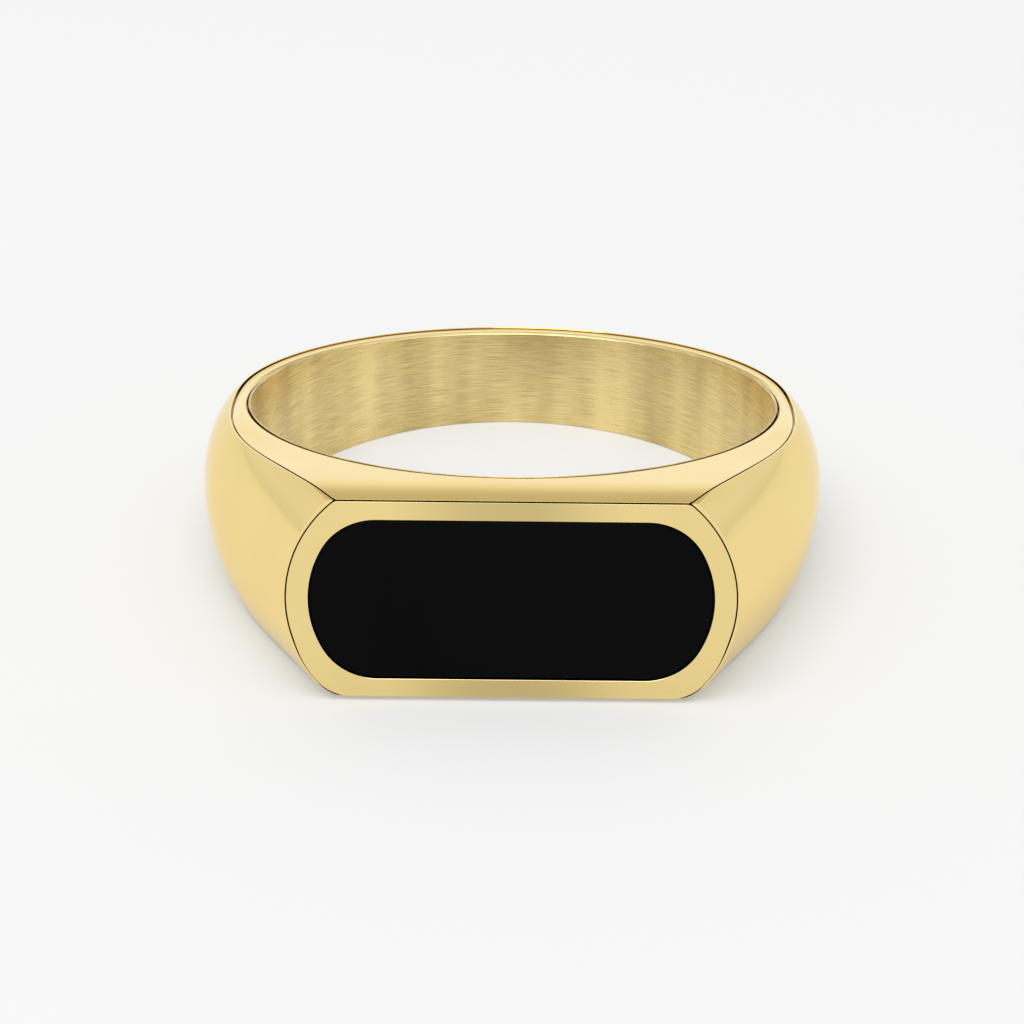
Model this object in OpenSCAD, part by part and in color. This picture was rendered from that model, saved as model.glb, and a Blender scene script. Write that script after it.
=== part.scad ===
// Signet ring with an oblong black tablet, resting on its lower flank with the face forward.
// The ring narrows from the face to the back, so its two flanks lean toward each other; the
// ring is modelled level about its mid-plane and then leaned until the lower flank lies flat.

/* [Finger hole] */
// Radius of the finger hole
hole_r = 9.9; // [8.5:0.1:11]
// Wall thickness of the inner sleeve
sleeve_wall = 0.4; // [0.35:0.01:0.45]
// Width of the sleeve's lip left showing inside each flank plate
sleeve_lip = 0.1; // [0.08:0.01:0.18]

/* [Width of the ring] */
// Half the width of the ring, measured along the finger at the middle of the hole
half_width = 2.8; // [2.5:0.02:3.0]
// Lean of each flank: the ring widens toward the face and narrows to the back
taper = 4.8; // [3:0.1:5.5]

/* [Face] */
// Distance from the edge of the finger hole to the front of the face
face_depth = 2.5; // [2.4:0.05:3.2]
// Half the length of the straight top and bottom edges of the face
face_corner_x = 6.15; // [5.6:0.05:6.3]
// Half the length of the face across its two curved ends
face_end_x = 7.85; // [7.7:0.05:8.1]
// Radius of the face frame's upper corners
face_upper_r = 0.3; // [0.2:0.1:1.0]
// Radius of the face frame's lower corners
face_lower_r = 1.5; // [0.2:0.1:2.0]
// Thickness of the face frame
frame_t = 0.7; // [0.5:0.05:0.8]
// Slope of the mitred seam between the face frame and each flank plate
mitre_angle = 30; // [25:1:32]

/* [Band] */
// Width of a flank at the sides of the hole
side_wall = 0.72; // [0.6:0.02:1.0]
// Width of a flank at the back of the hole
back_wall = 1.1; // [0.9:0.05:1.4]
// Angle of the flank's straight edge behind the face, from straight back
edge_angle = 31; // [29:0.5:33]
// Radius of the bend between the flank's straight edge and the side
edge_bend_r = 12.5; // [11:0.5:14]
// How far the band swells past the flank edge at the sides
side_swell = 1.1; // [0.9:0.05:1.3]
// How far the band swells past the flank edge at the back
back_swell = 1; // [0.8:0.05:1.2]
// Angle of the shoulder at its fullest line, from straight back
shoulder_angle = 25; // [24:0.5:27]
// Radius of the bend between the shoulder and the side at its fullest line
shoulder_bend_r = 17.5; // [15:0.5:18]

/* [Flank plates] */
// Thickness of each flank plate
plate_t = 0.4; // [0.3:0.02:0.44]
// Width of the band's own edge left showing beside each plate
band_rim = 0.06; // [0.05:0.01:0.12]
// Gap along each fine seam
seam_gap = 0.06; // [0.02:0.01:0.07]
// Radius of the roll at the front of each flank
roll_r = 15; // [12:1:20]
// Distance in front of the finger hole at which the roll starts
roll_start = 0.6; // [0.5:0.05:0.8]

/* [Tablet] */
// Half the length of the tablet
tablet_x = 6.95; // [6.8:0.05:7.05]
// Half the height of the tablet
tablet_z = 2.95; // [2.85:0.05:3.0]
// Radius of the tablet's curved ends
tablet_end_r = 3.85; // [3.7:0.05:4.0]
// Radius of the tablet's corners
tablet_corner_r = 2.1; // [1.5:0.05:2.2]
// Thickness of the tablet
tablet_t = 1; // [0.9:0.02:1.0]
// Depth of the tablet's surface below the face
tablet_recess = 0.02; // [0:0.01:0.05]
// Gap between the tablet and the face frame
window_gap = 0.04; // [0.03:0.01:0.06]
// Thickness of the adhesive under the tablet
glue_t = 0.08; // [0.05:0.01:0.1]
// Distance the adhesive stops short of the tablet's edge
glue_margin = 0.3; // [0.2:0.05:0.5]
// Thickness of the plate the tablet is bedded on
seat_t = 0.3; // [0.2:0.02:0.32]

/* [Hidden] */

$fn = 144;

polished = [0.87, 0.75, 0.47];
satin = [0.77, 0.66, 0.4];
face_gold = [0.78, 0.67, 0.4];
seat_gold = [0.6, 0.5, 0.28];
adhesive = [0.75, 0.72, 0.62];
onyx = [0.03, 0.03, 0.035];

// Construction space round the ring, larger than any part of it.
space = 40;
// How far a cutting shape runs past the surface it cuts.
past = 1;
// Height the band is built past each flank before the flanks are cut.
overrun = 0.12;

face_y = hole_r + face_depth;
sleeve_r = hole_r + sleeve_wall;
lip_r = hole_r + sleeve_lip;
edge_w = hole_r + side_wall;
edge_back_y = hole_r + back_wall - edge_w;
swell_w = edge_w + side_swell;
swell_back_y = hole_r + back_wall + back_swell - swell_w;

// Height of a flank's plane above the mid-plane, at distance y behind the middle of the hole.
function flank_z(y) = half_width - y * tan(taper);

// Height at which a flank, rolled over at the front, meets the front of the face.
roll_run = face_y * cos(taper) + (flank_z(-face_y) - half_width) * sin(taper) - hole_r - roll_start;
roll_drop = roll_r - sqrt(roll_r * roll_r - roll_run * roll_run);
face_z = flank_z(-face_y) - roll_drop / cos(taper);

// Radius of the face's curved ends, which pass through its corners.
face_end_sag = face_end_x - face_corner_x;
face_end_r = (pow(face_z, 2) + pow(face_end_sag, 2)) / (2 * face_end_sag);

tablet_back_y = -face_y + tablet_recess + tablet_t;
seat_front_y = tablet_back_y + glue_t;
pocket_floor_y = seat_front_y + seat_t;

// Lean that lays the lower flank flat, and the shift that centres the ring over the origin.
rest_z = half_width * cos(taper);
front_reach = face_y * cos(taper) + face_z * sin(taper);
back_edge_z = flank_z(hole_r + back_wall);
back_swell_r = (pow(back_edge_z, 2) + pow(back_swell, 2)) / (2 * back_swell);
back_reach = (swell_w + swell_back_y - back_swell_r) * cos(taper) + back_swell_r;
centre_y = (front_reach - back_reach) / 2;

// Steps round the band: along a shoulder, round its bend, and round a quarter of the back.
shoulder_steps = 8;
bend_steps = 8;
back_steps = 28;
// Steps from one edge of the band to the other.
rise_steps = 16;
// Steps round the flank roll, a curved end and a small corner.
roll_steps = 8;
end_steps = 24;
corner_steps = 8;

// Points along an arc.
function arc(centre, radius, from, to, steps) =
    [for (k = [0 : steps])
        let (turn = from + (to - from) * k / steps)
        centre + radius * [cos(turn), sin(turn)]];

function backwards(list) = [for (i = [len(list) - 1 : -1 : 0]) list[i]];
function flip_x(points) = [for (point = points) [-point[0], point[1]]];

// Closes the right half of an outline with its mirror image.
function both_sides(half) = concat(half, backwards(flip_x(half)));

// Right half of an outline round the ring, from the face to the middle of the back.
function half_outline(start_x, side_x, angle, bend_r, back_y, straight_steps = 1) =
    let (reach = bend_r * tan(angle / 2))
    let (meet_y = -face_y + (side_x - start_x) / tan(angle))
    let (start = [start_x, -face_y])
    let (first = [side_x - reach * sin(angle), meet_y - reach * cos(angle)])
    concat(
        [for (k = [0 : straight_steps - 1]) start + (first - start) * k / straight_steps],
        arc([side_x - bend_r, meet_y + reach], bend_r, -angle, 0, bend_steps),
        arc([0, back_y], side_x, 0, 90, back_steps)
    );

edge_half = half_outline(
    face_corner_x, edge_w, edge_angle, edge_bend_r, edge_back_y, shoulder_steps
);
swell_half = half_outline(
    face_end_x, swell_w, shoulder_angle, shoulder_bend_r, swell_back_y, shoulder_steps
);
half_count = len(edge_half);
loop_count = 2 * half_count - 1;

// Point on the band's bulging surface, rise going from -1 at the lower edge to 1 at the upper.
// In the overrun past a flank the bulge stays at the end of its arc.
function band_point(station, rise) =
    let (edge = edge_half[station])
    let (swell = swell_half[station])
    let (edge_z = flank_z(edge[1]))
    let (sag = norm(swell - edge))
    let (arc_r = (edge_z * edge_z + sag * sag) / (2 * sag))
    let (z = rise * (edge_z + overrun))
    let (fall = (arc_r - sqrt(max(0, arc_r * arc_r - z * z))) / sag)
    let (plan = swell + (edge - swell) * fall)
    [plan[0], plan[1], z];

function mirrored(point) = [-point[0], point[1], point[2]];

// One closed loop of points round the band at a given rise.
function band_loop(rise) =
    concat(
        [for (i = [0 : half_count - 1]) band_point(i, rise)],
        [for (i = [half_count - 2 : -1 : 0]) mirrored(band_point(i, rise))]
    );

// Solid body of the band before its flanks, hole and recesses are cut.
module band_blank() {
    loops = [for (j = [0 : rise_steps]) each band_loop(2 * j / rise_steps - 1)];
    poles = [[0, 0, -half_width - overrun], [0, 0, half_width + overrun]];
    low = len(loops);
    high = low + 1;
    top = rise_steps * loop_count;
    walls = [
        for (j = [0 : rise_steps - 1])
        for (i = [0 : loop_count - 1])
        let (here = j * loop_count + i)
        let (next = j * loop_count + (i + 1) % loop_count)
        each [[here, here + loop_count, next], [next, here + loop_count, next + loop_count]]
    ];
    lids = [
        for (i = [0 : loop_count - 1])
        let (next = (i + 1) % loop_count)
        each [[low, i, next], [high, top + next, top + i]]
    ];
    polyhedron(points = concat(loops, poles), faces = concat(walls, lids));
}

// Everything below the upper flank, rolled over at the front; depth lowers it into the ring.
module under_flank(depth = 0) {
    roll_y = -hole_r - roll_start;
    roll_end = 90 + asin((roll_run + 2 * past) / roll_r);
    roll = arc([roll_y, -roll_r], roll_r - depth, 90, roll_end, roll_steps);
    last = roll[roll_steps];
    translate([0, 0, half_width])
        rotate([-taper, 0, 0])
            rotate([90, 0, 90])
                linear_extrude(space, center = true)
                    polygon(concat(roll, [[last[0], -space / 2], [space, -space / 2], [space, -depth]]));
}

// Everything between the two flanks.
module between_flanks() {
    intersection() {
        under_flank();
        mirror([0, 0, 1])
            under_flank();
    }
}

// Outline of a flank seen from above, drawn in by an inset.
module flank_outline(inset) {
    polygon(both_sides(half_outline(
        face_corner_x - inset / cos(edge_angle), edge_w - inset,
        edge_angle, edge_bend_r - inset, edge_back_y
    )));
}

// Space a flank plate lies in: a shallow step round the top of the ring.
module rail_space(inset, hole) {
    difference() {
        linear_extrude(space / 2)
            flank_outline(inset);
        translate([0, 0, -past])
            cylinder(h = space, r = hole);
        under_flank(plate_t);
    }
}

// Right half of an outline with a flat top and bottom, a wide curved end and rounded corners.
function end_outline(half_x, half_z, end_r, low_r, high_r) =
    let (end_x = half_x - end_r)
    let (low = corner_place(end_x, half_z, end_r, low_r))
    let (high = corner_place(end_x, half_z, end_r, high_r))
    let (low_turn = atan2(half_z - low_r, low[0] - end_x))
    let (high_turn = atan2(half_z - high_r, high[0] - end_x))
    let (end = arc([end_x, 0], end_r, -low_turn, high_turn, end_steps))
    concat(
        arc([low[0], -low[1]], low_r, -90, -low_turn, corner_steps),
        [for (i = [1 : end_steps - 1]) end[i]],
        arc(high, high_r, high_turn, 90, corner_steps)
    );

// Centre of a corner that blends a curved end into a flat edge.
function corner_place(end_x, half_z, end_r, corner_r) =
    [end_x + sqrt(pow(end_r - corner_r, 2) - pow(half_z - corner_r, 2)), half_z - corner_r];

// Outline of the face, drawn in by an inset at its curved ends.
module face_outline(inset) {
    polygon(both_sides(end_outline(
        face_end_x - inset, face_z, face_end_r - inset, face_lower_r, face_upper_r
    )));
}

// Outline of the tablet, or of the window round it when it is grown.
module tablet_outline(grow = 0) {
    corner_r = tablet_corner_r + grow;
    polygon(both_sides(end_outline(
        tablet_x + grow, tablet_z + grow, tablet_end_r + grow, corner_r, corner_r
    )));
}

// Stands an outline upright, with its thickness running back from front_y.
module upright(front_y, depth) {
    translate([0, front_y + depth, 0])
        rotate([90, 0, 0])
            linear_extrude(depth)
                children();
}

// Space the face frame lies in: mitred above and below, round at the ends.
module frame_space(inset, depth, clearance = 0) {
    edge_z = face_z + clearance / cos(mitre_angle);
    back_z = edge_z - depth * tan(mitre_angle);
    front_z = edge_z + past * tan(mitre_angle);
    intersection() {
        upright(-face_y, depth)
            face_outline(inset);
        rotate([90, 0, 90])
            linear_extrude(space, center = true)
                polygon([
                    [-face_y - past, front_z], [-face_y + depth, back_z],
                    [-face_y + depth, -back_z], [-face_y - past, -front_z]
                ]);
    }
}

// Lays the ring on its lower flank, over the origin.
module resting() {
    translate([0, centre_y, rest_z])
        rotate([-taper, 0, 0])
            children();
}

module inner_sleeve() {
    color(satin)
        resting()
            difference() {
                intersection() {
                    translate([0, 0, -space / 2])
                        cylinder(h = space, r = sleeve_r);
                    between_flanks();
                }
                for (flip = [0, 1])
                    mirror([0, 0, flip])
                        rail_space(0, lip_r);
                translate([0, 0, -space / 2])
                    cylinder(h = space, r = hole_r);
            }
}

module outer_band() {
    color(polished)
        resting()
            difference() {
                intersection() {
                    band_blank();
                    between_flanks();
                }
                for (flip = [0, 1])
                    mirror([0, 0, flip])
                        rail_space(band_rim, lip_r);
                translate([0, 0, -space / 2])
                    cylinder(h = space, r = sleeve_r);
                frame_space(band_rim, frame_t);
                upright(-face_y, pocket_floor_y + face_y)
                    tablet_outline(window_gap);
            }
}

module flank_plate() {
    difference() {
        intersection() {
            rail_space(band_rim + seam_gap, lip_r + seam_gap);
            under_flank();
        }
        frame_space(0, frame_t, seam_gap);
        upright(-face_y, pocket_floor_y + face_y)
            tablet_outline(window_gap);
    }
}

module upper_rail() {
    color(polished)
        resting()
            flank_plate();
}

module lower_rail() {
    color(polished)
        resting()
            mirror([0, 0, 1])
                flank_plate();
}

module face_frame() {
    color(face_gold)
        resting()
            difference() {
                intersection() {
                    frame_space(band_rim + seam_gap, frame_t);
                    between_flanks();
                }
                upright(-face_y - past, frame_t + 2 * past)
                    tablet_outline(window_gap);
            }
}

module stone_seat() {
    color(seat_gold)
        resting()
            upright(seat_front_y, seat_t)
                tablet_outline(window_gap - seam_gap);
}

module adhesive_bed() {
    color(adhesive)
        resting()
            upright(tablet_back_y, glue_t)
                tablet_outline(-glue_margin);
}

module onyx_tablet() {
    color(onyx)
        resting()
            upright(-face_y + tablet_recess, tablet_t)
                tablet_outline();
}

inner_sleeve();
outer_band();
upper_rail();
lower_rail();
face_frame();
stone_seat();
adhesive_bed();
onyx_tablet();
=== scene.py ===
"""Signet ring with a black tablet, lying on its flank with its face toward the camera.

Shapes are worked out level with the ring's mid-plane, in millimetres: the finger hole runs up Z
and the face looks along -Y. settle() then leans each piece onto the floor, in metres.
"""

import math

import bmesh
import bpy
import numpy as np
from mathutils import Matrix, Vector


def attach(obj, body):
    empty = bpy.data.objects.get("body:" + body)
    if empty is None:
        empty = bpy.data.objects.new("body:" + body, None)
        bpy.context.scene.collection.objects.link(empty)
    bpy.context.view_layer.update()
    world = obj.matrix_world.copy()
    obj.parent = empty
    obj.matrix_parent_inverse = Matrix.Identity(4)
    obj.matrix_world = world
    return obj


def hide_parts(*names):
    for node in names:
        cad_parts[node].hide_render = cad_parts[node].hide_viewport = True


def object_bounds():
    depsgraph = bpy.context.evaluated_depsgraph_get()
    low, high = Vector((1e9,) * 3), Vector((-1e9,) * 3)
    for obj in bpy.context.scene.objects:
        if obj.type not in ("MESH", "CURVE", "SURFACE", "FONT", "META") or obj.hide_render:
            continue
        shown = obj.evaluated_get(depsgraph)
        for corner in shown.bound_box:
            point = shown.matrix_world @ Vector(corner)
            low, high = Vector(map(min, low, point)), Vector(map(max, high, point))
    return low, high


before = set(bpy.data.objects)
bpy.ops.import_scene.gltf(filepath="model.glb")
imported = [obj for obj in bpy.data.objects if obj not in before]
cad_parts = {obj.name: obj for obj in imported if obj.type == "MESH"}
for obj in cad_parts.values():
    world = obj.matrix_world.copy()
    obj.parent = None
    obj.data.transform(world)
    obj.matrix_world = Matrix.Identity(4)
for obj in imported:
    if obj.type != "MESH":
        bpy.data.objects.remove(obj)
cad_low, cad_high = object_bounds()

# ---------------------------------------------------------------- sizes, millimetres and degrees

MM = 0.001

# Finger hole, its lining and the lining's lip, the ring's half width at y = 0, each flank's taper
HOLE_R = 9.9
SLEEVE_R = 10.3
SLEEVE_GAP = 0.05
LIP_R = 10.0
LIP_BREAK = 0.05
LIP_ROW = 0.45
HALF_WIDTH = 2.8
TAPER = math.radians(4.8)

# Face: its distance from the hole's axis, corners, curved ends, thickness and mitred long edges
FACE_Y = 12.4
FACE_CORNER_X = 6.15
FACE_END_X = 7.85
FACE_UPPER_R = 0.3
FACE_LOWER_R = 1.5
FRAME_T = 0.7
MITRE = math.radians(30)

# Outlines of the flanks' edge and of the band's fullest line, seen along the finger hole, and how
# softly their bends blend
EDGE_W = 10.62
EDGE_BACK_Y = 0.38
EDGE_ANGLE = math.radians(31)
EDGE_BEND_R = 12.5
SWELL_W = 11.72
SWELL_BACK_Y = 0.28
SHOULDER_ANGLE = math.radians(25)
SHOULDER_BEND_R = 17.5
EASE = 1.1
EASE_REACH = 3 * EASE

# Flank plates, the band's rim and skin, and the seams; a fade is the stretch of y, or its length,
# over which a change takes place
PLATE_T = 0.36
BAND_RIM = 0.06
BAND_SKIN = 2.4 * BAND_RIM
SEAM = 0.08
BACK_SEAM = 0.02
END_SEAM = 0.045
SHUT_SEAM = 0.01
INNER_SEAM = 0.035
SEAM_DEPTH = 0.3
SEAM_FADE = (1, 7)
CORNER_FADE = 3
INNER_ROLL = 0.14
FLANK_CROWN = 0.05
CROWN_FADE = (-9, -5)
ROLL_R = 15
ROLL_Y = 10.5

# Where the face's end seams close toward its lower corners, as shares of its half height, and the
# share of the band's rim lost there
CLOSE_START = 0.35
CLOSE_RUN = 0.4
RIM_CLOSE = 0.9

# Tablet and the window round it
TABLET_X = 6.95
TABLET_Z = 2.95
TABLET_END_R = 3.85
TABLET_CORNER_R = 2.1
TABLET_T = 1
TABLET_RECESS = 0.03
TABLET_ROLL = 0.1
TABLET_BACK_ROW = 0.05
WINDOW_GAP = 0.04

# Widths of the small rounding on sharp edges
EDGE_ROUND = 0.025
SLEEVE_ROUND = 0.02

# Numbers of steps or rows
SHOULDER_STEPS = 60
BEND_STEPS = 40
BACK_STEPS = 110
FRONT_STEPS = 60
SWELL_STEPS = 56
CORNER_STEPS = 24
END_STEPS = 48
SLEEVE_STEPS = 512
MATCH_STEPS = 40
FLANK_ROWS = 20
INNER_ROLL_ROWS = 6
TABLET_ROLL_ROWS = 7

# Depth of the finest scratches, and how far the painted shade in seams reaches
SCRATCH = 0.01 * MM
SHADE_REACH = 0.12 * MM

# ---------------------------------------------------------------- outlines


def flank_z(y):
    """Height of the upper flank at y, rolled over in front of the finger hole."""
    run = np.maximum(0, -y / math.cos(TAPER) - ROLL_Y)
    drop = (ROLL_R - np.sqrt(ROLL_R**2 - run**2)) / math.cos(TAPER)
    return HALF_WIDTH - y * math.tan(TAPER) - drop


FACE_Z = float(flank_z(np.array(-FACE_Y)))
FACE_END_SAG = FACE_END_X - FACE_CORNER_X
FACE_END_R = (FACE_Z**2 + FACE_END_SAG**2) / (2 * FACE_END_SAG)


def arc(centre, radius, start, end, steps):
    """Points along an arc, both ends included."""
    turn = np.linspace(start, end, steps + 1)
    return np.array(centre) + radius * np.column_stack([np.cos(turn), np.sin(turn)])


def half_outline(start_x, side_x, angle, bend_r, back_y):
    """Right half of an outline round the ring, from the face to the middle of the back."""
    reach = bend_r * math.tan(angle / 2)
    meet_y = -FACE_Y + (side_x - start_x) / math.tan(angle)
    start = np.array([start_x, -FACE_Y])
    first = np.array([side_x - reach * math.sin(angle), meet_y - reach * math.cos(angle)])
    share = np.linspace(0, 1, SHOULDER_STEPS, endpoint=False)[:, None]
    straight = start + (first - start) * share
    bend = arc([side_x - bend_r, meet_y + reach], bend_r, -angle, 0, BEND_STEPS)
    back = arc([0, back_y], side_x, 0, math.pi / 2, BACK_STEPS)
    return ease(np.vstack([straight, bend, back]))


def ease(line):
    """Redraws a right half in even steps and blends its bends gently into each other."""
    along = np.concatenate([[0], np.cumsum(np.hypot(*np.diff(line, axis=0).T))])
    count = SHOULDER_STEPS + BEND_STEPS + BACK_STEPS
    even = np.linspace(0, along[-1], count + 1)
    line = np.column_stack([np.interp(even, along, line[:, i]) for i in (0, 1)])
    reach = round(EASE_REACH / even[1])
    before = 2 * line[0] - line[reach:0:-1]
    after = line[-2:-reach - 2:-1] * np.array([-1, 1])
    weights = np.exp(-0.5 * (np.arange(-reach, reach + 1) * even[1] / EASE) ** 2)
    weights /= weights.sum()
    long = np.vstack([before, line, after])
    return np.column_stack([np.convolve(long[:, i], weights, "valid") for i in (0, 1)])


def edge_outline(inset):
    """Right half of the flank's outline, drawn in by an inset."""
    start_x = FACE_CORNER_X - inset / math.cos(EDGE_ANGLE)
    return half_outline(start_x, EDGE_W - inset, EDGE_ANGLE, EDGE_BEND_R - inset, EDGE_BACK_Y)


def swell_outline():
    """Right half of the band's fullest line."""
    return half_outline(FACE_END_X, SWELL_W, SHOULDER_ANGLE, SHOULDER_BEND_R, SWELL_BACK_Y)


def both_sides(half):
    """Adds the mirror image of a right half that ends on x = 0."""
    left = half[:-1][::-1] * np.array([-1.0] + [1.0] * (half.shape[1] - 1))
    return np.vstack([half, left])


def flank_loop(inset, front_inset):
    """Closed outline of a flank plate: round the ring, then along the front edge."""
    half = edge_outline(inset).copy()
    half[0] = [half[0, 0] + front_inset * math.tan(EDGE_ANGLE), -FACE_Y + front_inset]
    loop = both_sides(half)
    share = np.linspace(0, 1, FRONT_STEPS + 1)[1:-1, None]
    front = loop[-1] + (loop[0] - loop[-1]) * share
    return np.vstack([loop, front])


def corner_place(half_x, half_z, end_r, corner_r):
    """Middle of a corner that blends a curved end into a flat edge, and where the two meet."""
    end_x = half_x - end_r
    out = math.sqrt((end_r - corner_r) ** 2 - (half_z - corner_r) ** 2)
    return end_x + out, math.atan2(half_z - corner_r, out)


def end_loop(half_x, half_z, end_r, low_r, high_r):
    """Closed outline with a flat top and bottom, wide curved ends and rounded corners."""
    low_x, low_turn = corner_place(half_x, half_z, end_r, low_r)
    high_x, high_turn = corner_place(half_x, half_z, end_r, high_r)
    low = arc([low_x, low_r - half_z], low_r, -math.pi / 2, -low_turn, CORNER_STEPS)
    end = arc([half_x - end_r, 0], end_r, -low_turn, high_turn, END_STEPS)
    high = arc([high_x, half_z - high_r], high_r, high_turn, math.pi / 2, CORNER_STEPS)
    right = np.vstack([low, end[1:-1], high])
    left = right[::-1] * np.array([-1, 1])
    share = np.linspace(0, 1, FRONT_STEPS + 1)[1:-1, None]
    top = right[-1] + (left[0] - right[-1]) * share
    bottom = left[-1] + (right[0] - left[-1]) * share
    return np.vstack([right, top, left, bottom])


def face_loop(inset, half_z):
    """Closed outline of the face frame."""
    return end_loop(FACE_END_X - inset, half_z, FACE_END_R - inset, FACE_LOWER_R, FACE_UPPER_R)


def tablet_loop(grow):
    """Closed outline of the tablet, or of the window round it."""
    corner_r = TABLET_CORNER_R + grow
    return end_loop(
        TABLET_X + grow, TABLET_Z + grow, TABLET_END_R + grow, corner_r, corner_r
    )


def round_low_corner(points, corners):
    """Rounds the lower front corners of a piece; corners are where each point's arris is."""
    side = np.sign(points[:, 0])
    middle_x, turn = corner_place(FACE_END_X, FACE_Z, FACE_END_R, FACE_LOWER_R)
    out = side * (points[:, 0] - corners[:, 0]) + FACE_CORNER_X - middle_x
    up = points[:, 2] - corners[:, 2] - FACE_LOWER_R
    reach = np.maximum(np.hypot(out, up), 1e-6)
    angle = np.arctan2(up, out)
    near = np.clip(1 - (points[:, 1] + FACE_Y) / CORNER_FADE, 0, 1)
    inside = (angle > -math.pi / 2) & (angle < -turn)
    over = np.where(inside, np.maximum(reach - FACE_LOWER_R, 0), 0) * near
    shift = np.column_stack([side * out, np.zeros(len(out)), up]) / reach[:, None]
    return points - shift * over[:, None]


def match_loop(loop, outer):
    """The points of a loop that lie in the same directions from the centre as outer's."""
    share = np.linspace(0, 1, MATCH_STEPS, endpoint=False)[:, None, None]
    fine = (loop + (np.roll(loop, -1, axis=0) - loop) * share).swapaxes(0, 1).reshape(-1, 2)
    turn = np.arctan2(fine[:, 1], fine[:, 0])
    reach = np.hypot(fine[:, 0], fine[:, 1])
    want = np.arctan2(outer[:, 1], outer[:, 0])
    found = np.interp(want, turn, reach, period=2 * math.pi)
    return np.column_stack([found * np.cos(want), found * np.sin(want)])


# ---------------------------------------------------------------- mesh helpers

front_reach = FACE_Y * math.cos(TAPER) + FACE_Z * math.sin(TAPER)
REST = (
    Matrix.Translation((0, cad_low.y + front_reach * MM, HALF_WIDTH * math.cos(TAPER) * MM))
    @ Matrix.Rotation(-TAPER, 4, "X")
    @ Matrix.Scale(MM, 4)
)


def settle(name, points, faces, node, bevel=0.0):
    """Makes a piece from level points, leans it onto the floor and binds it to the frame."""
    mesh = bpy.data.meshes.new(name)
    mesh.from_pydata(points.tolist(), [], faces)
    mesh.transform(REST)
    mesh.update()
    piece = bpy.data.objects.new(name, mesh)
    bpy.context.scene.collection.objects.link(piece)
    tidy_normals(mesh)
    mesh.shade_smooth()
    if bevel:
        rounding = piece.modifiers.new("edge_rounding", "BEVEL")
        rounding.width = bevel * MM
        rounding.segments = 3
        rounding.limit_method = "ANGLE"
        rounding.angle_limit = math.radians(22)
        rounding.harden_normals = True
    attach(piece, "root")
    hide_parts(node)
    return piece


def tidy_normals(mesh):
    """Turns every face of a closed mesh outward."""
    work = bmesh.new()
    work.from_mesh(mesh)
    bmesh.ops.recalc_face_normals(work, faces=work.faces)
    work.to_mesh(mesh)
    work.free()


def ring_faces(stations, around, closed=True):
    """Faces of a grid whose rows are closed sections; closed joins the last row to the first."""
    faces = []
    for i in range(stations if closed else stations - 1):
        j = (i + 1) % stations
        for k in range(around):
            m = (k + 1) % around
            faces.append((i * around + k, j * around + k, j * around + m, i * around + m))
    return faces


def lift(plan, z):
    """Plan points with a height."""
    return np.column_stack([plan, np.broadcast_to(z, len(plan))])


def upright(loop, y):
    """A face outline stood upright at depth y."""
    return np.column_stack([loop[:, 0], np.full(len(loop), y), loop[:, 1]])


def stack(layers):
    """Interleaves matching loops, so that each row of the grid is one closed section."""
    return np.stack(layers, axis=1).reshape(-1, 3)


# ---------------------------------------------------------------- pieces


def build_sleeve():
    """Brushed lining of the finger hole, with a broken edge and a narrow lip."""
    turn = np.linspace(0, 2 * math.pi, SLEEVE_STEPS, endpoint=False)
    way = np.column_stack([np.sin(turn), -np.cos(turn)])
    profile = [
        (HOLE_R, 2 * LIP_ROW), (HOLE_R, LIP_ROW), (HOLE_R, LIP_BREAK), (HOLE_R + LIP_BREAK, 0),
        (LIP_R, 0), (LIP_R, SEAM_DEPTH), (SLEEVE_R - SLEEVE_GAP, SEAM_DEPTH)
    ]
    layers = []
    for side in (1, -1):
        rows = [
            lift(way * r, side * (flank_z(way[:, 1] * r) - depth)) for r, depth in profile
        ]
        layers += rows if side > 0 else rows[::-1]
    points = stack(layers)
    faces = ring_faces(len(turn), len(layers))
    return settle("sleeve", points, faces, "inner_sleeve", SLEEVE_ROUND)


def build_rail(name, node, side):
    """Polished plate on one flank, mitred along the front edge of the face."""
    seam_run = SEAM / 2
    outer_top = narrowing_loop(seam_run)
    outer_low = narrowing_loop(seam_run + PLATE_T / math.tan(MITRE))
    bore_side = way_to(outer_top) * (LIP_R + INNER_SEAM)
    start = bore_side + way_to(outer_top) * INNER_ROLL
    rows = [start + (outer_top - start) * t for t in np.linspace(0, 1, FLANK_ROWS)]
    turns = np.linspace(0, math.pi / 2, INNER_ROLL_ROWS)[:-1]
    rolled = [
        (bore_side + way_to(outer_top) * INNER_ROLL * (1 - math.cos(turn)),
         INNER_ROLL * (1 - math.sin(turn))) for turn in turns
    ]
    layers = [lift(row, flank_z(row[:, 1]) - drop) for row, drop in rolled]
    layers += [
        lift(row, flank_z(row[:, 1]) - crown_drop(row[:, 1], i / (len(rows) - 1)))
        for i, row in enumerate(rows)
    ]
    layers.append(lift(outer_low, flank_z(outer_low[:, 1]) - PLATE_T))
    layers.append(lift(bore_side, flank_z(bore_side[:, 1]) - PLATE_T))
    points = stack([layer * np.array([1, 1, side]) for layer in layers])
    if side < 0:
        arris = lift(flank_loop(0, 0), -flank_z(flank_loop(0, 0)[:, 1]))
        points = round_low_corner(points, np.repeat(arris, len(layers), axis=0))
    faces = ring_faces(len(start), len(layers))
    return settle(name, points, faces, node, EDGE_ROUND)


def crown_drop(y, share):
    """How far a flank falls away toward its outer edge, at a share of the way across it."""
    ahead, behind = CROWN_FADE
    return FLANK_CROWN * share**2 * np.clip((y - ahead) / (behind - ahead), 0, 1)


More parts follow.
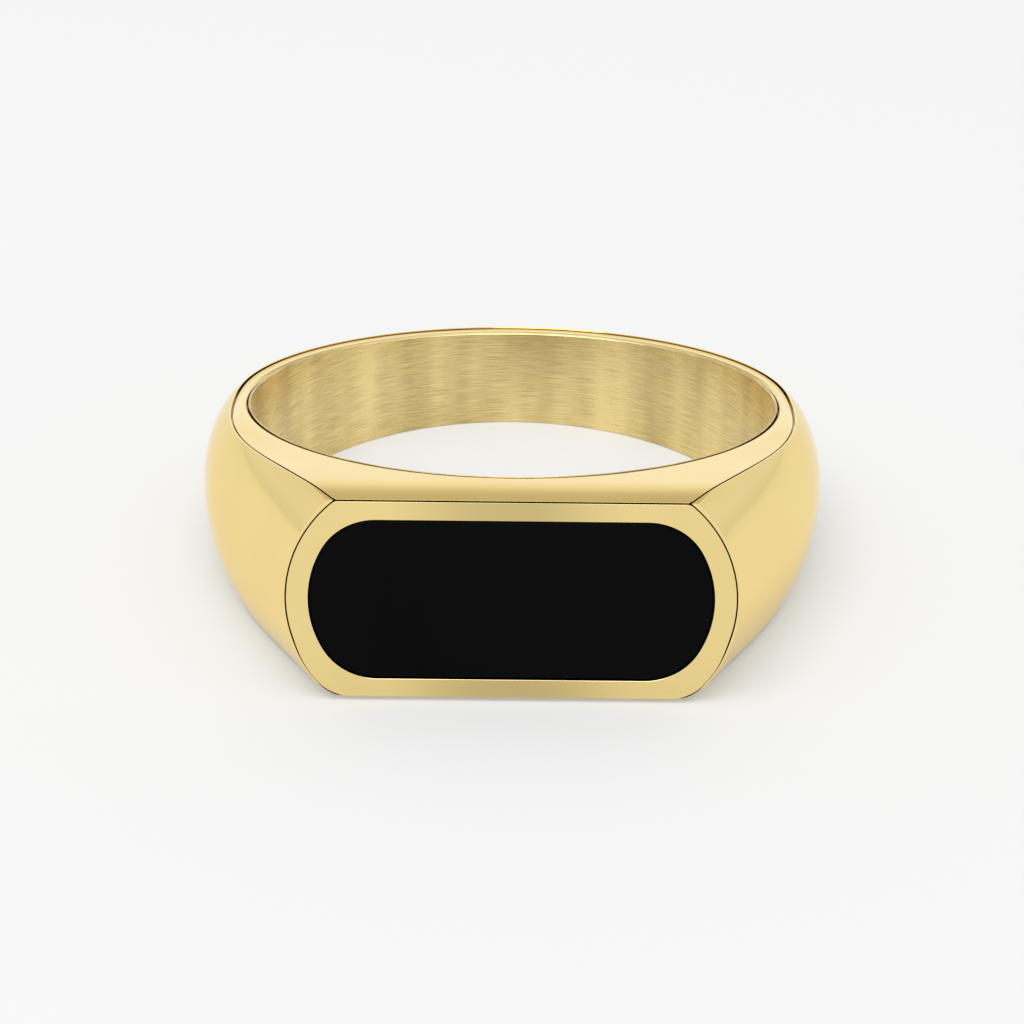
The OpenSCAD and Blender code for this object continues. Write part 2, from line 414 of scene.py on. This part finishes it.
def narrowing_loop(front_inset):
    """Outline of a flank plate whose seam grows finer from the sides to the back."""
    wide = flank_loop(BAND_RIM + SEAM, front_inset)
    fine = flank_loop(BAND_RIM + BACK_SEAM, front_inset)
    share = np.clip((wide[:, 1] - SEAM_FADE[0]) / (SEAM_FADE[1] - SEAM_FADE[0]), 0, 1)
    return wide + (fine - wide) * share[:, None]


def way_to(loop):
    """Unit directions from the hole's axis to the points of a loop."""
    return loop / np.hypot(loop[:, 0], loop[:, 1])[:, None]


def band_sections():
    """Closed sections of the band, one to a station: the bulge, then the rims and the inside."""
    edge = both_sides(edge_outline(0))
    swell = both_sides(swell_outline())
    away = (swell - edge) / np.hypot(*(swell - edge).T)[:, None]
    sag = np.hypot(*(swell - edge).T)
    top = flank_z(edge[:, 1])
    full = HALF_WIDTH - edge[:, 1] * math.tan(TAPER)
    arc_r = (full**2 + sag**2) / (2 * sag)
    half_turn = np.arcsin(top / arc_r)
    layers = []
    for share in np.linspace(-1, 1, SWELL_STEPS + 1):
        turn = half_turn * share
        out = arc_r * np.cos(turn) - arc_r + sag
        layers.append(lift(edge + away * out[:, None], arc_r * np.sin(turn)))
    lean = np.abs((away * outward(edge)).sum(1))
    rim = edge - away * (BAND_RIM / lean)[:, None]
    inner = edge - away * (BAND_SKIN / lean)[:, None]
    layers += [
        lift(rim, flank_z(rim[:, 1])), lift(rim, flank_z(rim[:, 1]) - SEAM_DEPTH),
        lift(inner, flank_z(inner[:, 1]) - SEAM_DEPTH),
        lift(inner, -flank_z(inner[:, 1]) + SEAM_DEPTH),
        lift(rim, -flank_z(rim[:, 1]) + SEAM_DEPTH), lift(rim, -flank_z(rim[:, 1]))
    ]
    arris = lift(edge, -top)
    return [round_low_corner(layer, arris) for layer in layers]


def outward(loop):
    """Unit normals of an open line of plan points, pointing away from the hole."""
    along = np.gradient(loop, axis=0)
    normal = np.column_stack([along[:, 1], -along[:, 0]])
    return normal / np.hypot(normal[:, 0], normal[:, 1])[:, None]


def build_band():
    """Polished band and shoulders, with a thin rim beside each let-in plate; a closed skin."""
    layers = band_sections()
    around = len(layers)
    grid = np.stack(layers, axis=1)
    inner_walls = slice(-5, -1)
    grid[[0, -1], inner_walls, 1] += SEAM_DEPTH
    ends = [face_end_rows(grid[0]), face_end_rows(grid[-1])]
    grid = np.concatenate([ends[0][::-1], grid, ends[1]])
    faces = ring_faces(len(grid), around, closed=False)
    last = (len(grid) - 1) * around
    faces += [tuple(range(around)), tuple(range(last, last + around))]
    return settle("band", grid.reshape(-1, 3), faces, "outer_band", EDGE_ROUND)


def face_end_rows(section):
    """Rows that turn an end of the band in round the face frame: a rim, then the seam's wall."""
    centre = np.array([math.copysign(FACE_END_X - FACE_END_R, section[:, 0].mean()), 0])
    flat = section[:, [0, 2]]
    gap = flat - centre
    reach = np.hypot(gap[:, 0], gap[:, 1])
    rim_width = BAND_RIM * (1 - RIM_CLOSE * low_share(flat[:, 1]))
    shrink = np.minimum(reach, FACE_END_R - rim_width) / reach
    rim = centre + gap * shrink[:, None]
    rim_row = np.column_stack([rim[:, 0], section[:, 1], rim[:, 1]])
    wall_row = rim_row + np.array([0, SEAM_DEPTH, 0])
    return np.stack([rim_row, wall_row])


def low_share(z):
    """Rises from 0 to 1 toward the lower corners of the face, where its seam closes up."""
    share = np.clip((-z - CLOSE_START * FACE_Z) / (CLOSE_RUN * FACE_Z), 0, 1)
    return share**2 * (3 - 2 * share)


def closing_loop(inset, half_z):
    """Outline of the face frame, its inset fading away toward the lower corners."""
    loop = face_loop(inset, half_z)
    full = match_loop(face_loop(SHUT_SEAM, half_z), loop)
    return loop + (full - loop) * low_share(loop[:, 1])[:, None]


def build_frame():
    """Flat border of the face, mitred above and below, with the tablet's window in it."""
    inset = BAND_RIM + END_SEAM
    back_z = FACE_Z - FRAME_T * math.tan(MITRE)
    front = closing_loop(inset, FACE_Z - SEAM / 2)
    back = face_loop(inset, back_z - SEAM / 2)
    window = match_loop(tablet_loop(WINDOW_GAP), front)
    back_y = -FACE_Y + FRAME_T
    layers = [
        upright(front, -FACE_Y), upright((front + window) / 2, -FACE_Y),
        upright(window, -FACE_Y), upright(window, back_y), upright(back, back_y)
    ]
    faces = ring_faces(len(front), len(layers))
    return settle("face_border", stack(layers), faces, "face_frame", EDGE_ROUND)


def build_tablet():
    """Black tablet, flat and polished, with a rolled edge."""
    front_y = -FACE_Y + TABLET_RECESS
    turns = np.linspace(0, math.pi / 2, TABLET_ROLL_ROWS)
    edge = [
        upright(tablet_loop(-TABLET_ROLL * (1 - math.sin(turn))),
                front_y + TABLET_ROLL * (1 - math.cos(turn))) for turn in turns
    ]
    flat = [upright(tablet_loop(-TABLET_ROLL * grow), front_y) for grow in (2, 1.1)]
    back_rows = (TABLET_T - TABLET_BACK_ROW, TABLET_T)
    back = [upright(tablet_loop(0), front_y + depth) for depth in back_rows]
    layers = flat + edge + back + [upright(tablet_loop(-TABLET_ROLL), front_y + TABLET_T)]
    count = len(layers[0])
    points = np.concatenate(layers)
    faces = [
        (row + i, row + (i + 1) % count, row + count + (i + 1) % count, row + count + i)
        for row in range(0, count * (len(layers) - 1), count) for i in range(count)
    ]
    last = count * (len(layers) - 1)
    faces += [tuple(range(count)), tuple(range(last, last + count))]
    return settle("tablet", points, faces, "onyx_tablet")


# ---------------------------------------------------------------- materials


def new_material(name):
    """A node material, with its node tree and its main shader."""
    material = bpy.data.materials.new(name)
    material.use_nodes = True
    return material, material.node_tree, material.node_tree.nodes["Principled BSDF"]


def add(tree, kind, **values):
    """A node with its named inputs or settings filled in."""
    node = tree.nodes.new(kind)
    for key, value in values.items():
        if key in node.inputs:
            node.inputs[key].default_value = value
        else:
            setattr(node, key, value)
    return node


def ramp(tree, source, stops):
    """A colour ramp fed by source; stops are (position, colour)."""
    node = tree.nodes.new("ShaderNodeValToRGB")
    elements = node.color_ramp.elements
    while len(elements) < len(stops):
        elements.new(0.5)
    for element, (position, colour) in zip(elements, stops):
        element.position = position
        element.color = (*colour, 1)
    tree.links.new(source, node.inputs["Fac"])
    return node


def spread(tree, source, low, high):
    """Maps a 0 to 1 value to a range."""
    node = add(tree, "ShaderNodeMapRange")
    node.inputs["To Min"].default_value = low
    node.inputs["To Max"].default_value = high
    tree.links.new(source, node.inputs["Value"])
    return node.outputs["Result"]


def painted_dark_middle(tree, place, colour, middle):
    """Multiplies a colour by a factor near x = 0, fading out to the sides; 1 leaves it as it is. The
    darker middle is painted shade, standing in for a darker reflection across the face.
    """
    axes = add(tree, "ShaderNodeSeparateXYZ")
    tree.links.new(place.outputs["Object"], axes.inputs["Vector"])
    away = add(tree, "ShaderNodeMath", operation="ABSOLUTE")
    tree.links.new(axes.outputs["X"], away.inputs[0])
    share = add(tree, "ShaderNodeMapRange", interpolation_type="SMOOTHSTEP")
    share.inputs["From Min"].default_value = 0.5 * MM
    share.inputs["From Max"].default_value = 4.5 * MM
    share.inputs["To Min"].default_value = middle
    tree.links.new(away.outputs[0], share.inputs["Value"])
    scale = add(tree, "ShaderNodeVectorMath", operation="SCALE")
    tree.links.new(colour, scale.inputs[0])
    tree.links.new(share.outputs["Result"], scale.inputs["Scale"])
    return scale.outputs["Vector"]


def painted_seam_shade(tree, colour, shader):
    """Darkens a colour by ambient occlusion in seams and deep corners: painted shade there."""
    hollow = add(tree, "ShaderNodeAmbientOcclusion", samples=8)
    hollow.inputs["Distance"].default_value = SHADE_REACH
    shade = ramp(tree, hollow.outputs["AO"], [(0.25, (0.03, 0.022, 0.01)), (0.7, (1, 1, 1))])
    mix = add(tree, "ShaderNodeMix", data_type="RGBA", blend_type="MULTIPLY")
    mix.inputs["Factor"].default_value = 1
    tree.links.new(colour, mix.inputs[6])
    tree.links.new(shade.outputs["Color"], mix.inputs[7])
    tree.links.new(mix.outputs[2], shader.inputs["Base Color"])


def polished_gold(name, light, deep, roughness, middle=1.0):
    """Polished plating: faint mottling, hairline scratches and a soft bloom in the gloss."""
    material, tree, shader = new_material(name)
    place = add(tree, "ShaderNodeTexCoord")
    cloud = add(tree, "ShaderNodeTexNoise", Scale=260.0, Detail=3.0)
    tree.links.new(place.outputs["Object"], cloud.inputs["Vector"])
    tone = ramp(tree, cloud.outputs["Fac"], [(0.3, deep), (0.7, light)])
    # Painted shade: a middle below 1 darkens the colour toward x = 0, standing in for a darker
    # reflection
    painted_middle_tone = painted_dark_middle(tree, place, tone.outputs["Color"], middle)
    # Painted shade in seams and deep corners, from ambient occlusion
    painted_seam_shade(tree, painted_middle_tone, shader)
    gloss = spread(tree, cloud.outputs["Fac"], roughness * 0.8, roughness * 1.25)
    tree.links.new(gloss, shader.inputs["Roughness"])
    hairs = add(tree, "ShaderNodeTexNoise", Scale=2600.0, Detail=4.0)
    stretch = add(tree, "ShaderNodeMapping")
    stretch.inputs["Scale"].default_value = (0.12, 1.0, 1.0)
    tree.links.new(place.outputs["Object"], stretch.inputs["Vector"])
    tree.links.new(stretch.outputs["Vector"], hairs.inputs["Vector"])
    bump = add(tree, "ShaderNodeBump", Strength=0.012, Distance=SCRATCH)
    tree.links.new(hairs.outputs["Fac"], bump.inputs["Height"])
    tree.links.new(bump.outputs["Normal"], shader.inputs["Normal"])
    shader.inputs["Metallic"].default_value = 1
    shader.inputs["Specular Tint"].default_value = (1, 0.93, 0.75, 1)
    return material


def brushed_gold():
    """Satin lining: fine streaks that run round the hole, over broader lighter and darker bands laid
    at random that are painted reflection, standing in for blurred reflections round the hole.
    """
    material, tree, shader = new_material("brushed_gold")
    place = add(tree, "ShaderNodeTexCoord")
    level = add(tree, "ShaderNodeMapping", vector_type="TEXTURE")
    level.inputs["Location"].default_value = REST.translation
    level.inputs["Rotation"].default_value = (-TAPER, 0, 0)
    tree.links.new(place.outputs["Object"], level.inputs["Vector"])
    axes = add(tree, "ShaderNodeSeparateXYZ")
    tree.links.new(level.outputs["Vector"], axes.inputs["Vector"])
    turn = add(tree, "ShaderNodeMath", operation="ARCTAN2")
    tree.links.new(axes.outputs["X"], turn.inputs[0])
    tree.links.new(axes.outputs["Y"], turn.inputs[1])
    round_hole = add(tree, "ShaderNodeMath", operation="MULTIPLY")
    round_hole.inputs[1].default_value = HOLE_R * MM
    tree.links.new(turn.outputs[0], round_hole.inputs[0])
    unrolled = add(tree, "ShaderNodeCombineXYZ")
    tree.links.new(round_hole.outputs[0], unrolled.inputs["X"])
    tree.links.new(axes.outputs["Z"], unrolled.inputs["Y"])
    streaks = streak_noise(tree, unrolled, (800, 21000, 1), 4.0)
    # Painted reflection: broad random bands in the colour stand in for the blurred reflections round
    # the hole
    painted_reflection_bands = streak_noise(tree, unrolled, (380, 70, 1), 2.0)
    mixed = add(tree, "ShaderNodeMath", operation="MULTIPLY_ADD")
    mixed.inputs[1].default_value = 0.45
    tree.links.new(streaks, mixed.inputs[0])
    shared = add(tree, "ShaderNodeMath", operation="MULTIPLY")
    shared.inputs[1].default_value = 0.55
    tree.links.new(painted_reflection_bands, shared.inputs[0])
    tree.links.new(shared.outputs[0], mixed.inputs[2])
    stops = [(0.4, (0.56, 0.435, 0.19)), (0.6, (0.93, 0.745, 0.355))]
    tone = ramp(tree, mixed.outputs[0], stops)
    tree.links.new(tone.outputs["Color"], shader.inputs["Base Color"])
    tree.links.new(spread(tree, streaks, 0.22, 0.34), shader.inputs["Roughness"])
    bump = add(tree, "ShaderNodeBump", Strength=0.15, Distance=SCRATCH)
    tree.links.new(streaks, bump.inputs["Height"])
    tree.links.new(bump.outputs["Normal"], shader.inputs["Normal"])
    shader.inputs["Metallic"].default_value = 1
    shader.inputs["Anisotropic"].default_value = 0.75
    along = add(tree, "ShaderNodeTangent", direction_type="RADIAL", axis="Z")
    tree.links.new(along.outputs["Tangent"], shader.inputs["Tangent"])
    return material


def streak_noise(tree, unrolled, scale, detail):
    """Noise drawn out along the unrolled hole's first axis."""
    stretch = add(tree, "ShaderNodeMapping")
    stretch.inputs["Scale"].default_value = scale
    tree.links.new(unrolled.outputs["Vector"], stretch.inputs["Vector"])
    noise = add(tree, "ShaderNodeTexNoise", Scale=1.0, Detail=detail)
    tree.links.new(stretch.outputs["Vector"], noise.inputs["Vector"])
    return noise.outputs["Fac"]


def onyx():
    """Polished black stone with the faintest clouding."""
    material, tree, shader = new_material("onyx")
    place = add(tree, "ShaderNodeTexCoord")
    cloud = add(tree, "ShaderNodeTexNoise", Scale=180.0, Detail=4.0)
    tree.links.new(place.outputs["Object"], cloud.inputs["Vector"])
    stops = [(0.3, (0.0018, 0.0018, 0.002)), (0.7, (0.003, 0.003, 0.0032))]
    tone = ramp(tree, cloud.outputs["Fac"], stops)
    tree.links.new(tone.outputs["Color"], shader.inputs["Base Color"])
    tree.links.new(spread(tree, cloud.outputs["Fac"], 0.05, 0.09), shader.inputs["Roughness"])
    shader.inputs["Specular IOR Level"].default_value = 0.03
    return material


def plain(name, colour, roughness, metallic):
    """A quiet material for a hidden piece, mottled a little."""
    material, tree, shader = new_material(name)
    place = add(tree, "ShaderNodeTexCoord")
    cloud = add(tree, "ShaderNodeTexNoise", Scale=900.0, Detail=3.0)
    tree.links.new(place.outputs["Object"], cloud.inputs["Vector"])
    darker = tuple(0.85 * c for c in colour)
    tone = ramp(tree, cloud.outputs["Fac"], [(0.3, darker), (0.7, colour)])
    tree.links.new(tone.outputs["Color"], shader.inputs["Base Color"])
    shader.inputs["Roughness"].default_value = roughness
    shader.inputs["Metallic"].default_value = metallic
    return material


def finish_with(obj, material):
    """Gives an object its one material."""
    obj.data.materials.clear()
    obj.data.materials.append(material)


# ---------------------------------------------------------------- room


def build_floor():
    """Pale matt floor that gives off a little light itself, like a light table."""
    half = 1.5
    mesh = bpy.data.meshes.new("floor")
    corners = [(-half, -half, 0), (half, -half, 0), (half, half, 0), (-half, half, 0)]
    mesh.from_pydata(corners, [], [(0, 1, 2, 3)])
    floor = bpy.data.objects.new("floor", mesh)
    bpy.context.scene.collection.objects.link(floor)
    material, tree, shader = new_material("floor")
    shader.inputs["Base Color"].default_value = (0.5, 0.5, 0.5, 1)
    shader.inputs["Emission Color"].default_value = (0.96, 0.98, 1, 1)
    shader.inputs["Emission Strength"].default_value = 0.3
    shader.inputs["Roughness"].default_value = 1
    shader.inputs["Specular IOR Level"].default_value = 0
    mesh.materials.append(material)


def build_sky():
    """Soft studio surround: bright low down and overhead, dimmer between, more even to the sides."""
    world = bpy.data.worlds.new("studio")
    bpy.context.scene.world = world
    world.use_nodes = True
    tree = world.node_tree
    place = add(tree, "ShaderNodeTexCoord")
    axes = add(tree, "ShaderNodeSeparateXYZ")
    tree.links.new(place.outputs["Generated"], axes.inputs["Vector"])
    lengthways = ramp(tree, axes.outputs["Z"], [
        (0, (0.95, 1.0, 1.2)), (0.1, (1.06, 1.16, 1.6)), (0.17, (1.0, 1.0, 1.05)),
        (0.33, (0.62, 0.59, 0.5)), (0.5, (0.55, 0.53, 0.46)), (0.75, (0.85, 0.85, 0.83)),
        (1, (1.1, 1.1, 1.1))
    ])
    beside = ramp(tree, axes.outputs["Z"], [
        (0, (0.8, 0.8, 0.78)), (0.4, (0.88, 0.88, 0.88)), (1, (1.05, 1.05, 1.05))
    ])
    for node in (lengthways, beside):
        node.color_ramp.interpolation = "EASE"
    across = add(tree, "ShaderNodeMath", operation="ABSOLUTE")
    tree.links.new(axes.outputs["X"], across.inputs[0])
    share = add(tree, "ShaderNodeMapRange", interpolation_type="SMOOTHSTEP")
    share.inputs["From Min"].default_value = 0.45
    share.inputs["From Max"].default_value = 0.95
    tree.links.new(across.outputs[0], share.inputs["Value"])
    blend = add(tree, "ShaderNodeMix", data_type="RGBA")
    tree.links.new(share.outputs["Result"], blend.inputs["Factor"])
    tree.links.new(lengthways.outputs["Color"], blend.inputs[6])
    tree.links.new(beside.outputs["Color"], blend.inputs[7])
    background = tree.nodes["Background"]
    tree.links.new(blend.outputs[2], background.inputs["Color"])
    background.inputs["Strength"].default_value = 1.0


def build_softbox():
    """Soft light above the ring, in front of it and a little toward -X."""
    data = bpy.data.lights.new("softbox", "AREA")
    data.shape = "SQUARE"
    data.size = 0.5
    data.energy = 2.35
    softbox = bpy.data.objects.new("softbox", data)
    place = Vector((-0.1, -0.25, 0.6))
    softbox.location = place
    softbox.rotation_euler = place.to_track_quat("Z", "Y").to_euler()
    bpy.context.scene.collection.objects.link(softbox)


def build_camera():
    """Camera above and in front of the face, with the whole ring in view."""
    tilt = math.radians(22.8)
    turn = math.radians(-0.1)
    roll = math.radians(0.63)
    distance = 110
    aim = Vector((0.01, 0, -1.87))
    across = math.cos(tilt)
    back = Vector((math.sin(turn) * across, -math.cos(turn) * across, math.sin(tilt)))
    spin = Matrix.Rotation(roll, 4, "Z")
    look = back.to_track_quat("Z", "Y").to_matrix().to_4x4()
    level = Matrix.Translation(aim + back * distance) @ look @ spin
    place = REST @ level
    data = bpy.data.cameras.new("camera")
    data.lens = 100.2
    data.sensor_width = 36
    data.clip_start = 0.005
    data.clip_end = 10
    camera = bpy.data.objects.new("camera", data)
    camera.matrix_world = Matrix.LocRotScale(place.translation, place.to_quaternion(), None)
    bpy.context.scene.collection.objects.link(camera)
    bpy.context.scene.camera = camera


build_camera()
build_floor()
build_sky()
build_softbox()

POLISHED = polished_gold("polished_gold", (0.94, 0.74, 0.325), (0.91, 0.71, 0.305), 0.1)
# The face's gold is a slightly rougher, darker copy of the polished gold; the darker colour is
# painted shade for the dimmer reflection on the face, deepening toward its middle
FACE_GOLD = polished_gold("face_gold", (0.9, 0.71, 0.31), (0.86, 0.67, 0.29), 0.13, 0.72)

finish_with(build_sleeve(), brushed_gold())
finish_with(build_rail("flank_upper", "upper_rail", 1), POLISHED)
finish_with(build_rail("flank_lower", "lower_rail", -1), POLISHED)
finish_with(build_band(), POLISHED)
finish_with(build_frame(), FACE_GOLD)
finish_with(build_tablet(), onyx())
finish_with(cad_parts["stone_seat"], plain("seat_gold", (0.5, 0.36, 0.14), 0.5, 1))
finish_with(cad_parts["adhesive_bed"], plain("adhesive", (0.5, 0.47, 0.35), 0.6, 0))

view = bpy.context.scene.view_settings
view.view_transform = "Standard"
